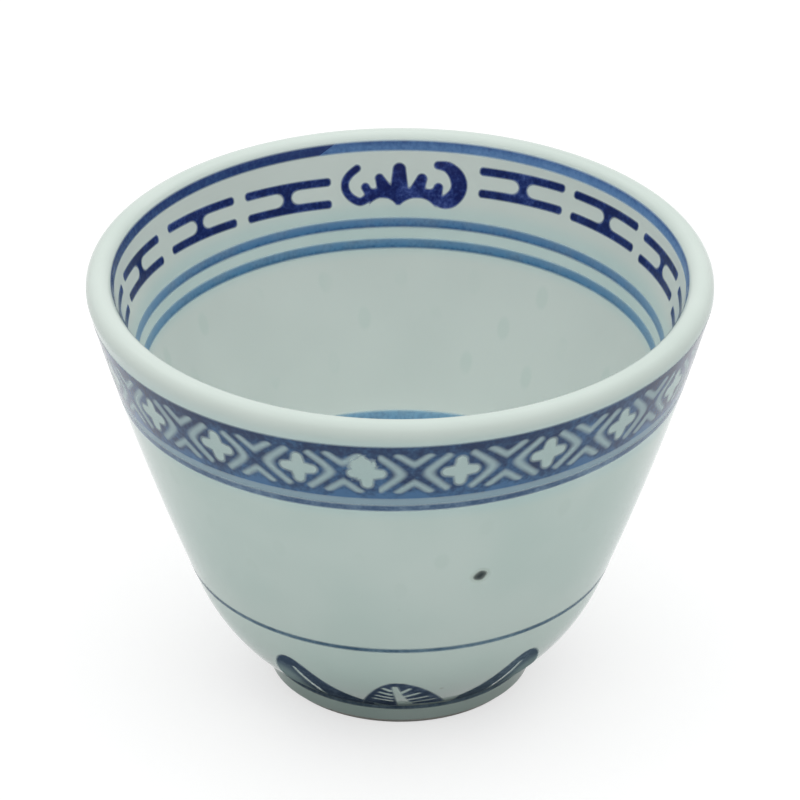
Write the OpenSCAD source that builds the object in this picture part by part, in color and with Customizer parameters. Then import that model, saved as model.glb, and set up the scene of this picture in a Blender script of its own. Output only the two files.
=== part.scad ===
// Handle-less porcelain teacup with blue in-glaze transfers and rice-grain windows.
// Millimetres. The origin is the centre of the resting face, +Z is up, -Y is the front.

/* [Bowl] */
// Diameter across the widest part of the lip
rim_diameter = 85; // [76:1:96]
// Height from the table to the top of the lip
cup_height = 61.3; // [54:0.1:70]
// Thickness of the finished wall, glaze on both sides
wall = 3.6; // [2.8:0.1:4.6]
// Slope of the wall at the lip, in degrees from upright
lip_slope = 15.5; // [13:0.5:18]
// Radius of the wall's slight outward sweep, seen in section
wall_sweep = 433; // [360:1:560]
// Clay left under the middle of the floor
floor_clay = 3; // [2.2:0.1:4]

/* [Foot ring] */
// Diameter of the glazed foot where the bowl lands on it
foot_diameter = 36.6; // [32:0.2:41]
// Height of the foot ring
foot_height = 3.6; // [3:0.1:5]
// Width of the clay ring
foot_width = 3.2; // [2.6:0.1:4.5]
// Inward lean of the ring's outer side over its height
foot_lean = 0.5; // [0.2:0.1:1]
// Bevel on both corners of the resting edge
foot_bevel = 0.6; // [0.3:0.1:0.9]
// Height of the clay edge that is wiped clean of glaze
bare_edge = 1; // [0.8:0.1:1.5]

/* [Glaze and colour] */
// Thickness of each glaze coat
glaze = 0.4; // [0.3:0.05:0.6]
// Depth that a transfer sinks into its glaze
colour_depth = 0.2; // [0.1:0.05:0.25]

/* [Rice grains] */
// Grains in each row
grain_count = 20; // [12:1:24]
// Staggered rows
grain_rows = 3; // [1:1:3]
// Height of the lowest row above the table
grain_low = 31; // [28:0.5:33]
// Rise from one row to the next
grain_rise = 5.5; // [4.5:0.1:6]
// Width of a grain
grain_width = 2.4; // [1.6:0.1:3]
// Length of a grain, along the wall's height
grain_length = 3.6; // [3.2:0.1:4.2]

/* [Inside bands] */
// Drop from the lip's top to the rim line
rim_line_drop = 0.8; // [0.6:0.1:1.2]
// Width of the rim line
rim_line_width = 1.7; // [1:0.1:2]
// Drop from the lip's top to the middle of the fret band
fret_drop = 6.6; // [6.2:0.1:7.4]
// Bats round the fret band
bat_count = 3; // [2:1:3]
// Fret keys between one bat and the next
keys_between = 4; // [2:1:4]
// Length of a fret key
key_length = 12.6; // [9:0.1:13]
// Distance between the middles of a key's two bars
key_pitch = 3.1; // [2.6:0.1:3.6]
// Thickness of a key's bars and post
key_stroke = 1.2; // [0.8:0.1:1.4]
// Span of a bat from wing to wing
bat_span = 17.6; // [14:0.1:18]
// Drop from the lip's top to the upper of the two rings
upper_ring_drop = 11.4; // [11:0.1:12]
// Drop from the lip's top to the lower of the two rings
lower_ring_drop = 14.1; // [13.8:0.1:15]
// Width of each of the two rings
ring_width = 1.7; // [1:0.1:2]
// Height of the well ring's middle above the table
well_ring_height = 23; // [20:0.5:25]
// Width of the well ring
well_ring_width = 1.8; // [1:0.1:2.4]

/* [Outside bands] */
// Drop from the lip's top to the lozenge border
border_drop = 3.3; // [3:0.1:4]
// Height of the lozenge border
border_height = 9; // [7.5:0.1:9.5]
// Whole lozenges round the border
lozenge_count = 20; // [16:1:22]
// Angle taken by the narrow lozenge where the transfer's ends meet
join_angle = 13.4; // [12:0.1:16]
// Angle from the front to the middle of that lozenge, to the right
join_at = -4; // [-180:1:180]
// Width of the light strokes in the border
chevron_stroke = 0.8; // [0.5:0.05:0.9]
// Reach of a chevron's arms, along the border and up or down
chevron_arm = 3; // [2:0.1:3.4]
// Reach of the small chevrons above and below a crossing
tip_arm = 1.5; // [0.8:0.1:1.7]
// Distance from the dark lattice's crossing to a chevron's point
chevron_inset = 1.3; // [0.8:0.1:1.8]
// Radius of one petal of the border's flowers
flower_petal = 0.85; // [0.5:0.05:0.9]
// Clear gap between the border and the line under it
border_gap = 1.5; // [1:0.1:2]
// Width of the line under the border
border_line_width = 1.4; // [0.8:0.1:1.8]
// Height of the waist line's middle above the table
waist_height = 18.8; // [18:0.1:22]
// Width of the waist line
waist_width = 0.8; // [0.5:0.1:1.2]
// Lappets round the foot
lappet_count = 8; // [6:1:9]
// Angle from the front to the first lappet, to the right
lappet_at = 2; // [-30:1:30]
// Width of a lappet at its base
lappet_width = 11; // [8:0.2:12]
// Height of a lappet above the foot ring
lappet_height = 8.2; // [6:0.1:9]
// Width of a lappet's light rib and veins
vein_stroke = 0.5; // [0.3:0.05:0.6]
// Slant of the veins, in degrees from level
vein_slant = 35; // [20:1:50]
// Width of the foot line
foot_line_width = 0.8; // [0.5:0.1:1.2]
// Diameter of the iron spot fired into the glaze
spot_diameter = 1.5; // [0.8:0.1:2.5]
// Height of the iron spot above the table
spot_height = 32.8; // [22:0.1:44]
// Angle from the front to the iron spot, to the right
spot_at = 18; // [-180:1:180]

/* [Hidden] */
$fn = 180;
// Cones that make up the upper wall
wall_cones = 3;
// How far cutters run past the surface that they cut
over = 1;
// How much fuller than tangent each round is drawn, so that it crosses the wall at a clear angle
fuller = 0.004;
reach = rim_diameter;

// The lip is a full round on the wall's end
lip_r = wall / 2;
lip_c = [rim_diameter / 2 - lip_r, cup_height - lip_r];
sweep_c = lip_c + (wall_sweep - lip_r) * [-cos(lip_slope), sin(lip_slope)];

// The underside is a ball on the axis, tangent to the wall, that lands on the foot's top edge
foot_r = foot_diameter / 2;
ball_k = wall_sweep ^ 2 + foot_r ^ 2 + foot_height ^ 2 - sweep_c * sweep_c;
ball_m = sweep_c.y - foot_height;
ball_a = 4 * (wall_sweep ^ 2 - ball_m ^ 2);
ball_b = -8 * wall_sweep ^ 2 * foot_height - 4 * ball_k * ball_m;
ball_c = 4 * wall_sweep ^ 2 * (foot_r ^ 2 + foot_height ^ 2) - ball_k ^ 2;
ball_z = (-ball_b + sqrt(ball_b ^ 2 - 4 * ball_a * ball_c)) / (2 * ball_a);
ball_r = norm([foot_r, ball_z - foot_height]);

// The floor is a ball on the axis, tangent to the inner wall, with the set clay below it
inner_sweep = wall_sweep - wall;
floor_z = foot_height + floor_clay + glaze;
well_k = floor_z + inner_sweep;
well_z = (well_k ^ 2 - sweep_c * sweep_c) / (2 * (well_k - sweep_c.y));
well_r = well_z - floor_z;

// Slopes of the wall where its cones meet: at the lip, part of the way down and at both round bottoms
well_slope = atan((sweep_c.y - well_z) / -sweep_c.x);
ball_slope = atan((sweep_c.y - ball_z) / -sweep_c.x);
upper_turn = (min(well_slope, ball_slope) - lip_slope) / wall_cones;
upper_slopes = [for (i = [0:wall_cones]) lip_slope + i * upper_turn];
stations = concat(upper_slopes, [max(well_slope, ball_slope)]);

foot_clay_r = foot_r - glaze;
recess_r = foot_clay_r - foot_lean - foot_width;

// Angle taken by one whole lozenge, and by one key or bat in the fret band
lozenge_angle = (360 - join_angle) / lozenge_count;
border_z = cup_height - border_drop - border_height / 2;
fret_z = cup_height - fret_drop;
fret_band = bat_span / 2;
border_r = outer_r(border_z);
fret_r = inner_r(fret_z);
bat_angle = 2 * asin(bat_span / 2 / fret_r);
key_angle = (360 / bat_count - bat_angle) / keys_between;

function numbered(name, count) = [for (i = [1:count]) str(name, "_", i)];
KEYS = numbered("fret_key", bat_count * keys_between);
BATS = numbered("bat", bat_count);
LAPPETS = numbered("lappet", lappet_count);

porcelain = "#e9ebe4";
celadon_white = "#c9d4ce";
grain_glaze = "#d7dfd6";
cobalt = "#2b3f86";
washed_cobalt = "#5f83ad";
iron = "#3a3b38";

// Radius of the outer and inner wall at height z
function outer_r(z) = sweep_c.x + sqrt(wall_sweep ^ 2 - (z - sweep_c.y) ^ 2);
function inner_r(z) = sweep_c.x + sqrt(inner_sweep ^ 2 - (z - sweep_c.y) ^ 2);

// Half-planes of the section, split along the line from the sweep's centre through p
function line_z(p, x) = p.y + (x - p.x) * (p.y - sweep_c.y) / (p.x - sweep_c.x);
module above(p) {
    polygon([[0, line_z(p, 0)], [reach, line_z(p, reach)], [reach, 2 * reach], [0, 2 * reach]]);
}
module below(p) {
    polygon([[0, line_z(p, 0)], [reach, line_z(p, reach)], [reach, -reach], [0, -reach]]);
}
module band(z, width) {
    translate([0, z - width / 2]) square([reach, width]);
}
// The wall's sweep as cones between its stations, cut back to a round bottom and what stands under it
module vessel(sweep, bottom_z, bottom_r, base_z = foot_height) {
    wall_points = [for (a = stations) sweep_c + sweep * [cos(a), -sin(a)]];
    last_slope = stations[len(stations) - 1];
    low = wall_points[len(stations) - 1] - over * [sin(last_slope), cos(last_slope)];
    top = wall_points[0] + wall * [sin(lip_slope), cos(lip_slope)];
    difference() {
        polygon(concat([[0, top.y], top], wall_points, [low, [low.x, base_z], [0, base_z]]));
        difference() {
            below([0, bottom_z]);
            translate([0, bottom_z]) circle(r = bottom_r + fuller);
            children();
        }
    }
}
// Everything inside the inner surface, let out by t
module hollow(t) {
    vessel(inner_sweep + t, well_z, well_r + t);
}
// The cup's section down to base_z, drawn in by t from both surfaces
module section(t, base_z = foot_height) {
    difference() {
        vessel(wall_sweep - t, ball_z, ball_r - t, base_z) children();
        hollow(t);
        difference() {
            above(lip_c);
            translate(lip_c) circle(r = lip_r - t + fuller);
        }
    }
}
// Skins of the outer and inner surface, from depth in the wall to proud of it
module outer_skin(depth, proud) {
    difference() {
        section(-proud);
        section(depth);
        hollow(lip_r);
    }
}
module inner_skin(depth, proud) {
    intersection() {
        difference() {
            section(-proud);
            section(depth);
        }
        hollow(lip_r);
    }
}
// The foot's outer side, drawn in by t, from the bare edge up to z
module foot_form(t, z) {
    lean = foot_lean / foot_height;
    low_r = foot_r - t - lean * (foot_height - bare_edge);
    top_r = foot_r - t - lean * (foot_height - z);
    polygon([[0, bare_edge], [low_r, bare_edge], [top_r, z], [0, z]]);
}

// A motif drawn flat, carried out through the wall, at an angle from the front to the right
module carried(angle, near, far) {
    rotate([0, 0, angle]) rotate([90, 0, 0]) translate([0, 0, near]) linear_extrude(far - near) children();
}
module stroke(length, width) {
    square([length - width, width], center = true);
    for (side = [-1, 1]) translate([side * (length - width) / 2, 0]) circle(d = width, $fn = 32);
}

// Rice grains, upright, in staggered rows
module grains() {
    pitch = 360 / grain_count;
    near = inner_r(grain_low) - wall;
    for (row = [0:grain_rows - 1], i = [0:grain_count - 1])
        carried((i + (row % 2) / 2) * pitch, near, rim_diameter / 2)
            translate([0, grain_low + row * grain_rise]) rotate(90) stroke(grain_length, grain_width);
}
module bowl_clay() {
    rotate_extrude() section(glaze);
}
module bowl_body() {
    color(porcelain) difference() {
        bowl_clay();
        grains();
    }
}
module grain_windows() {
    color(grain_glaze) intersection() {
        bowl_clay();
        grains();
    }
}
module foot_ring() {
    low_r = foot_clay_r - foot_lean;
    color(porcelain) rotate_extrude() polygon([
        [recess_r, foot_height], [foot_clay_r, foot_height], [low_r, foot_bevel],
        [low_r - foot_bevel, 0], [recess_r + foot_bevel, 0], [recess_r, foot_bevel]]);
}

// Rings of colour, let into the glaze or, with proud above 0, the pocket cut for them
module inner_ring(z, width, proud) {
    rotate_extrude() intersection() {
        inner_skin(colour_depth, proud);
        band(z, width);
    }
}
module outer_ring(z, width, proud) {
    rotate_extrude() intersection() {
        outer_skin(colour_depth, proud);
        band(z, width);
    }
}
module rim_line(proud = 0) {
    color(cobalt) inner_ring(cup_height - rim_line_drop - rim_line_width / 2, rim_line_width, proud);
}
module upper_ring(proud = 0) {
    color(washed_cobalt) inner_ring(cup_height - upper_ring_drop - ring_width / 2, ring_width, proud);
}
module lower_ring(proud = 0) {
    color(washed_cobalt) inner_ring(cup_height - lower_ring_drop - ring_width / 2, ring_width, proud);
}
module well_ring(proud = 0) {
    color(washed_cobalt) inner_ring(well_ring_height, well_ring_width, proud);
}
module border_line(proud = 0) {
    top = border_z - border_height / 2 - border_gap;
    color(cobalt) outer_ring(top - border_line_width / 2, border_line_width, proud);
}
module waist_line(proud = 0) {
    color(cobalt) outer_ring(waist_height, waist_width, proud);
}
module foot_line(proud = 0) {
    color(cobalt) rotate_extrude() intersection() {
        difference() {
            foot_form(-proud, foot_height);
            foot_form(colour_depth, foot_height);
        }
        band(foot_height - foot_line_width / 2, foot_line_width);
    }
}

// A fret key: two bars with round ends, joined by a post with hollow sides
module key_shape() {
    gap = key_pitch - key_stroke;
    for (side = [-1, 1]) translate([0, side * key_pitch / 2]) stroke(key_length, key_stroke);
    difference() {
        square([key_stroke + gap, key_pitch], center = true);
        for (side = [-1, 1]) translate([side * (key_stroke + gap) / 2, 0]) circle(d = gap, $fn = 32);
    }
}
module key_through(i) {
    bat = floor((i - 1) / keys_between);
    step = (i - 1) % keys_between;
    from_back = bat * 360 / bat_count + bat_angle / 2 + (step + 0.5) * key_angle;
    carried(180 - from_back, fret_r - wall, fret_r + wall) translate([0, fret_z]) key_shape();
}
module fret_key(i) {
    color(cobalt) intersection() {
        inner_ring(fret_z, fret_band, 0);
        key_through(i);
    }
}

// A flying bat: crescent wings, five lobes between them and a scalloped lower edge
module bat_shape() {
    unit = bat_span / 16;
    wing_r = 3 * unit;
    wing_x = bat_span / 2 - wing_r;
    hollow_r = 2.3 * unit;
    hollow_shift = [0.7 * unit, 0.5 * unit];
    lobes = [[0, 2.6, 0.85], [2.6, 1.1, 0.6], [4.7, 0.1, 0.5]];
    base_half = 4.7 * unit;
    base_low = -2.6 * unit;
    lobe_low = -2 * unit;
    base_top = -1.4 * unit;
    scallop_r = 1.9 * unit;
    scallop_c = [2.3 * unit, -3.9 * unit];
    difference() {
        union() {
            for (side = [-1, 1]) {
                difference() {
                    translate([side * wing_x, 0]) circle(r = wing_r);
                    translate([side * (wing_x - hollow_shift.x), hollow_shift.y]) circle(r = hollow_r);
                }
                for (lobe = lobes) {
                    lobe_x = side * lobe[0] * unit;
                    lobe_r = lobe[2] * unit;
                    top = lobe[1] * unit - lobe_r;
                    translate([lobe_x, top]) circle(r = lobe_r);
                    translate([lobe_x - lobe_r, lobe_low]) square([2 * lobe_r, top - lobe_low]);
                }
            }
            translate([-base_half, base_low]) square([2 * base_half, base_top - base_low]);
        }
        for (side = [-1, 1]) translate([side * scallop_c.x, scallop_c.y]) circle(r = scallop_r);
    }
}
module bat_through(i) {
    from_back = (i - 1) * 360 / bat_count;
    carried(180 - from_back, fret_r - wall, fret_r + wall) translate([0, fret_z]) bat_shape();
}
module bat(i) {
    color(cobalt) intersection() {
        inner_ring(fret_z, fret_band, 0);
        bat_through(i);
    }
}

// Light shapes reserved in the border: chevrons round each crossing and a flower in each lozenge
module chevron(arm) {
    across = chevron_stroke * sqrt(2);
    translate([chevron_inset, 0]) polygon([
        [0, 0], [arm, arm], [arm + across, arm], [across, 0], [arm + across, -arm], [arm, -arm]]);
}
module flower() {
    spread = 1.4 * flower_petal;
    for (turn = [0:90:270]) rotate(turn) translate([spread, 0]) circle(r = flower_petal, $fn = 32);
    square(2 * flower_petal, center = true);
}
// The narrow lozenge of the join has its flower pushed to the left, over the chevron there
module lozenge_reserve(angle) {
    half_w = border_r * sin(angle / 2);
    narrow = angle < lozenge_angle;
    if (!narrow) translate([-half_w, 0]) chevron(chevron_arm);
    translate([half_w, 0]) rotate(180) chevron(chevron_arm);
    for (turn = [90, 270]) translate([half_w, 0]) rotate(turn) chevron(tip_arm);
    translate([narrow ? -flower_petal : 0, 0]) flower();
}
// Middles of the lozenges, with the narrow one where the transfer's ends meet
function lozenge_at(i) = join_at + (i == 0 ? 0 : join_angle / 2 + (i - 0.5) * lozenge_angle);
module reserves_through() {
    for (i = [0:lozenge_count])
        carried(lozenge_at(i), border_r - wall, border_r + wall) translate([0, border_z])
            lozenge_reserve(i == 0 ? join_angle : lozenge_angle);
}
module lozenge_border() {
    color(cobalt) difference() {
        outer_ring(border_z, border_height, 0);
        reserves_through();
    }
}
module border_reserves() {
    color(celadon_white) intersection() {
        outer_ring(border_z, border_height, 0);
        reserves_through();
    }
}

// A lappet: a round-headed petal with a light rib and slanting veins
module lappet_shape() {
    head_r = lappet_width / 2;
    rib_middle = 0.4 * lappet_height;
    vein_x = lappet_width / 5;
    vein_rows = [0.3 * lappet_height, 0.52 * lappet_height];
    difference() {
        intersection() {
            translate([0, lappet_height - head_r]) circle(r = head_r);
            translate([-head_r, 0]) square([lappet_width, lappet_height]);
        }
        translate([0, rib_middle]) rotate(90) stroke(lappet_height / 2, vein_stroke);
        for (side = [-1, 1], row = vein_rows)
            translate([side * vein_x, row]) rotate(side * vein_slant) stroke(vein_x, vein_stroke);
    }
}
module lappet_through(i) {
    carried(lappet_at + (i - 1) * 360 / lappet_count, foot_r - foot_line_width, rim_diameter / 2)
        translate([0, foot_height + foot_line_width / 2]) lappet_shape();
}
module lappet(i) {
    color(cobalt) intersection() {
        outer_ring(foot_height + lappet_height, 2 * lappet_height, 0);
        lappet_through(i);
    }
}

module spot_through() {
    carried(spot_at, outer_r(spot_height) - wall, outer_r(spot_height) + wall)
        translate([0, spot_height]) circle(d = spot_diameter, $fn = 32);
}
module iron_spot() {
    color(iron) intersection() {
        outer_ring(spot_height, 2 * spot_diameter, 0);
        spot_through();
    }
}

// Glaze coats, with a pocket for each transfer
module inner_glaze() {
    color(celadon_white) difference() {
        rotate_extrude() inner_skin(glaze, 0);
        rim_line(over);
        upper_ring(over);
        lower_ring(over);
        well_ring(over);
        intersection() {
            inner_ring(fret_z, fret_band, over);
            union() {
                for (i = [1:len(KEYS)]) key_through(i);
                for (i = [1:bat_count]) bat_through(i);
            }
        }
    }
}
module outer_glaze() {
    color(celadon_white) difference() {
        rotate_extrude() difference() {
            section(0, bare_edge) foot_form(0, foot_height + glaze);
            section(glaze);
            foot_form(glaze, foot_height);
            hollow(lip_r);
        }
        outer_ring(border_z, border_height, over);
        border_line(over);
        waist_line(over);
        intersection() {
            outer_ring(foot_height + lappet_height, 2 * lappet_height, over);
            for (i = [1:lappet_count]) lappet_through(i);
        }
        foot_line(over);
        intersection() {
            outer_ring(spot_height, 2 * spot_diameter, over);
            spot_through();
        }
    }
}
module base_glaze() {
    color(celadon_white) rotate_extrude() polygon([
        [0, foot_height], [recess_r, foot_height], [recess_r, bare_edge],
        [recess_r - glaze, bare_edge], [recess_r - glaze, foot_height - glaze], [0, foot_height - glaze]]);
}

bowl_body();
foot_ring();
inner_glaze();
outer_glaze();
base_glaze();
grain_windows();
rim_line();
upper_ring();
lower_ring();
well_ring();
for (i = [1:len(KEYS)]) fret_key(i);
for (i = [1:bat_count]) bat(i);
lozenge_border();
border_reserves();
border_line();
waist_line();
for (i = [1:lappet_count]) lappet(i);
foot_line();
iron_spot();
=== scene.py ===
import math

import bpy
import numpy as np
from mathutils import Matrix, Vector


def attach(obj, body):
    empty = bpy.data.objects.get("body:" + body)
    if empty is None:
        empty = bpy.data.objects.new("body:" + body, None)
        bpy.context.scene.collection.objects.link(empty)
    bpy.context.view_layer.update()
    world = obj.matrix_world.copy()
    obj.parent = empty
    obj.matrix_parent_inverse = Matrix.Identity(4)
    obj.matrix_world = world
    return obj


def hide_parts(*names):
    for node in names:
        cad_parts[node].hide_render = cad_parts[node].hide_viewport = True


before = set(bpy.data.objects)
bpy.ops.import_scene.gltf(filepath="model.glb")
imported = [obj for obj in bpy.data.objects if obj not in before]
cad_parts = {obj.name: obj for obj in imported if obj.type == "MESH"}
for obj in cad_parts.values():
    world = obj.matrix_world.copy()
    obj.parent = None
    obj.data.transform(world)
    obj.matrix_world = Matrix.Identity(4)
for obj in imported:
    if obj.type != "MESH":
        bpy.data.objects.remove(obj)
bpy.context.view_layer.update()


# Outer glaze coat.
# The bowl was dipped: one skin of cool white glaze runs from under the inside of the lip, over it,
# down the wall and the belly, and over the foot to the edge that was wiped clean before firing.
MM = 0.001
COAT = 0.4
LIP_ROUND = 1.8
LIP_SLOPE = 15.5
LIP_MIDDLE = (40.7, 59.5)
SWEEP_MIDDLE = (-374.817, 174.733)
OUTER_SWEEP = 433.0
INNER_SWEEP = 429.4
BELLY_MIDDLE = (0, 27.964)
BELLY_RADIUS = 30.47
BELLY_MEETS_WALL = 21.384
BELLY_MEETS_FOOT = 53.09
FOOT_TOP = (18.3, 3.6)
FOOT_TOP_ROUND = 0.1
FOOT_WIPED = (17.939, 1.0)
WIPED_ROUND = 0.18
SEAM_HEIGHT = 59.65
SEGMENTS = 192
SEAM_STEPS = 2
LIP_STEPS = 40
WALL_STEPS = 32
BELLY_STEPS = 40
WELD = 0.001
SHARP_FROM = math.radians(40)


class Wire:
    """One socket of a node tree. A sum written with it adds its Math nodes to the tree."""

    def __init__(self, tree, socket=None):
        self.tree = tree
        self.socket = socket

    def node(self, kind, settings=None, inputs=None, out=0):
        """Adds a node, sets it up and gives the wire of one of its outputs."""
        made = self.tree.nodes.new(kind)
        for name, value in (settings or {}).items():
            setattr(made, name, value)
        for key, value in (inputs or {}).items():
            if isinstance(value, Wire):
                self.tree.links.new(value.socket, made.inputs[key])
            else:
                made.inputs[key].default_value = value
        return Wire(self.tree, made.outputs[out])

    def maths(self, operation, *values):
        return self.node("ShaderNodeMath", {"operation": operation}, dict(enumerate((self, *values))))

    def __add__(self, other):
        return self.maths("ADD", other)

    def __sub__(self, other):
        return self.maths("SUBTRACT", other)

    def __rsub__(self, other):
        return self.node("ShaderNodeMath", {"operation": "SUBTRACT"}, {0: other, 1: self})

    def __mul__(self, other):
        return self.maths("MULTIPLY", other)

    def __truediv__(self, other):
        return self.maths("DIVIDE", other)

    def __rtruediv__(self, other):
        return self.node("ShaderNodeMath", {"operation": "DIVIDE"}, {0: other, 1: self})

    def __abs__(self):
        return self.maths("ABSOLUTE")

    __radd__ = __add__
    __rmul__ = __mul__

    def ease(self, low, high):
        """0 below low, 1 above high and a smooth step between them."""
        span = {"Value": self, "From Min": low, "From Max": high}
        return self.node("ShaderNodeMapRange", {"interpolation_type": "SMOOTHSTEP"}, span)

    def tint(self, low, high, blend="MIX"):
        """A colour from low, where this is 0, to high, where it is 1. With ADD, high comes on top of low."""
        return self.node("ShaderNodeMix", {"data_type": "RGBA", "blend_type": blend}, {
            0: self, 6: low, 7: high}, out=2)


def new_tree(name, inputs):
    """A geometry tree with named inputs, and the wire of each of them."""
    tree = bpy.data.node_groups.new(name, "GeometryNodeTree")
    for label, kind in inputs.items():
        tree.interface.new_socket(label, in_out="INPUT", socket_type="NodeSocket" + kind)
    tree.interface.new_socket("Shape", in_out="OUTPUT", socket_type="NodeSocketGeometry")
    entry = tree.nodes.new("NodeGroupInput")
    return tree, {label: Wire(tree, entry.outputs[label]) for label in inputs}


def end_tree(shape, colour):
    """Every tree ends as one smooth, real mesh in one colour."""
    whole = shape.node("GeometryNodeRealizeInstances", inputs={0: shape})
    smooth = whole.node("GeometryNodeSetShadeSmooth", inputs={0: whole})
    coloured = smooth.node("GeometryNodeSetMaterial", inputs={"Geometry": smooth, "Material": colour})
    leave = coloured.tree.nodes.new("NodeGroupOutput")
    coloured.tree.links.new(coloured.socket, leave.inputs[0])


turning, on_wheel = new_tree("turning", {"Profile": "Geometry", "Segments": "Int", "Colour": "Material"})
rows = on_wheel["Profile"].node("GeometryNodeAttributeDomainSize", inputs={0: on_wheel["Profile"]})
sheet = rows.node("GeometryNodeMeshGrid", inputs={
    "Size X": 2 * math.pi, "Size Y": 1.0, "Vertices X": on_wheel["Segments"] + 1, "Vertices Y": rows})
place = sheet.node("GeometryNodeInputPosition")
row = sheet.node("GeometryNodeInputIndex").maths("MODULO", rows)
point = place.node("GeometryNodeSampleIndex", {"data_type": "FLOAT_VECTOR"}, {
    "Geometry": on_wheel["Profile"], "Value": place, "Index": row})
turn = place.node("ShaderNodeSeparateXYZ", inputs={0: place})
radius = point.node("ShaderNodeSeparateXYZ", inputs={0: point})
height = point.node("ShaderNodeSeparateXYZ", inputs={0: point}, out=2)
thrown = radius.node("ShaderNodeCombineXYZ", inputs={
    0: radius * turn.maths("SINE"), 1: radius * turn.maths("COSINE") * -1, 2: height})
spun = sheet.node("GeometryNodeSetPosition", inputs={"Geometry": sheet, "Position": thrown})
closed = spun.node("GeometryNodeMergeByDistance", inputs={"Geometry": spun, "Distance": WELD * MM})
end_tree(closed, on_wheel["Colour"])


def made_by(tree, name, mesh, values):
    """Runs a mesh through a tree and keeps the result as a plain mesh. Only its sharp edges stay hard."""
    piece = bpy.data.objects.new(name, mesh)
    bpy.context.scene.collection.objects.link(piece)
    modifier = piece.modifiers.new(tree.name, "NODES")
    modifier.node_group = tree
    for socket in tree.interface.items_tree:
        if socket.name in values:
            modifier[socket.identifier] = values[socket.name]
    ready = piece.evaluated_get(bpy.context.evaluated_depsgraph_get())
    shape = bpy.data.meshes.new_from_object(ready)
    piece.modifiers.clear()
    piece.data = shape
    bpy.data.meshes.remove(mesh)
    shape.set_sharp_from_angle(angle=SHARP_FROM)
    return piece


def turned(name, section, colour):
    """Turns a closed section, in mm, on the wheel."""
    points = np.array(section)
    ahead = np.roll(points, -1, axis=0)
    if np.sum(points[:, 0] * ahead[:, 1] - ahead[:, 0] * points[:, 1]) < 0:
        points = points[::-1]
    if points[0][0] > 0 or points[-1][0] > 0:
        points = np.vstack([points, points[:1]])
    mesh = bpy.data.meshes.new(name)
    mesh.from_pydata([(r * MM, 0, z * MM) for r, z in points], [], [])
    return made_by(turning, name, mesh, {"Segments": SEGMENTS, "Colour": colour})


def arc(middle, radius, start, end, steps):
    """Points of an arc of a section, in mm, from angle to angle in degrees."""
    angles = np.radians(np.linspace(start, end, steps + 1))
    return [(middle[0] + radius * math.cos(a), middle[1] + radius * math.sin(a)) for a in angles]


def soft_corner(before, corner, after, reach, steps=6):
    """Points that round off a corner of a section."""
    before, corner, after = (np.array(p, float) for p in (before, corner, after))
    first = corner + (before - corner) * reach / np.linalg.norm(before - corner)
    last = corner + (after - corner) * reach / np.linalg.norm(after - corner)
    shares = np.linspace(0, 1, steps + 1)
    return [tuple((1 - t) ** 2 * first + 2 * t * (1 - t) * corner + t * t * last) for t in shares]


def sweep_angle(z, sweep):
    """Angle on the wall's sweep at a height."""
    return math.degrees(math.asin((z - SWEEP_MIDDLE[1]) / sweep))


def outer_face(depth):
    """The outer coat's face, or its back at a depth, from the seam inside the lip to the foot."""
    inside = INNER_SWEEP + depth
    return (
        arc(SWEEP_MIDDLE, inside, sweep_angle(SEAM_HEIGHT, inside), -LIP_SLOPE, SEAM_STEPS)[:-1]
        + arc(LIP_MIDDLE, LIP_ROUND - depth, 180 - LIP_SLOPE, -LIP_SLOPE, LIP_STEPS)
        + arc(SWEEP_MIDDLE, OUTER_SWEEP - depth, -LIP_SLOPE, -BELLY_MEETS_WALL, WALL_STEPS)[1:]
        + arc(BELLY_MIDDLE, BELLY_RADIUS - depth, -BELLY_MEETS_WALL, -BELLY_MEETS_FOOT, BELLY_STEPS)[1:-1])


GLAZE_ROUGHNESS = 0.1
GLAZE_IOR = 1.5
GLAZE_SHINE = 0.12


def glazed(name, shine=GLAZE_SHINE):
    """A new glossy fired surface: the material and a wire to start its tree from."""
    material = bpy.data.materials.new(name)
    material.use_nodes = True
    gloss = material.node_tree.nodes["Principled BSDF"].inputs
    gloss["Roughness"].default_value = GLAZE_ROUGHNESS
    gloss["IOR"].default_value = GLAZE_IOR
    gloss["Specular IOR Level"].default_value = shine
    return material, Wire(material.node_tree)


def fire(material, **wires):
    """Links finished wires to the sockets of the surface's shader."""
    shader = material.node_tree.nodes["Principled BSDF"]
    for socket, wire in wires.items():
        material.node_tree.links.new(wire.socket, shader.inputs[socket.replace("_", " ")])


def own_space(start):
    """Each point's place in the piece's own space, in metres."""
    return start.node("ShaderNodeTexCoord", out="Object")


def noise(start, scale, detail=2.0):
    """Soft clouds in the piece's own space, from 0 to 1."""
    clouds = {"Vector": own_space(start), "Scale": scale, "Detail": detail}
    return start.node("ShaderNodeTexNoise", inputs=clouds)


def bumped(pattern, strength, rise):
    """A skin that rises with a pattern, by a few parts of a mm."""
    return pattern.node("ShaderNodeBump", inputs={
        "Strength": strength, "Distance": rise * MM, "Height": pattern})


def around(start):
    """Turn from the front to the right, in radians, and height in mm, at each point."""
    space = own_space(start)
    x, y, z = (start.node("ShaderNodeSeparateXYZ", inputs={0: space}, out=i) for i in range(3))
    return x.maths("ARCTAN2", y * -1), z * (1 / MM)


def between(value, low, high, soft):
    """1 from low to high, with edges that bleed by soft to each side."""
    return value.ease(low - soft, low + soft) * (1 - value.ease(high - soft, high + soft))


def reach_of(across, up):
    """Distance of a point that lies so far across and so far up."""
    return (across * across + up * up).maths("SQRT")


GRAIN_COUNT = 20
GRAIN_ROWS = (31.0, 36.5, 42.0)
GRAIN_HALF_WIDTH = 1.2
GRAIN_HALF_LENGTH = 1.8
GRAIN_GIRTH = 35.0


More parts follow.
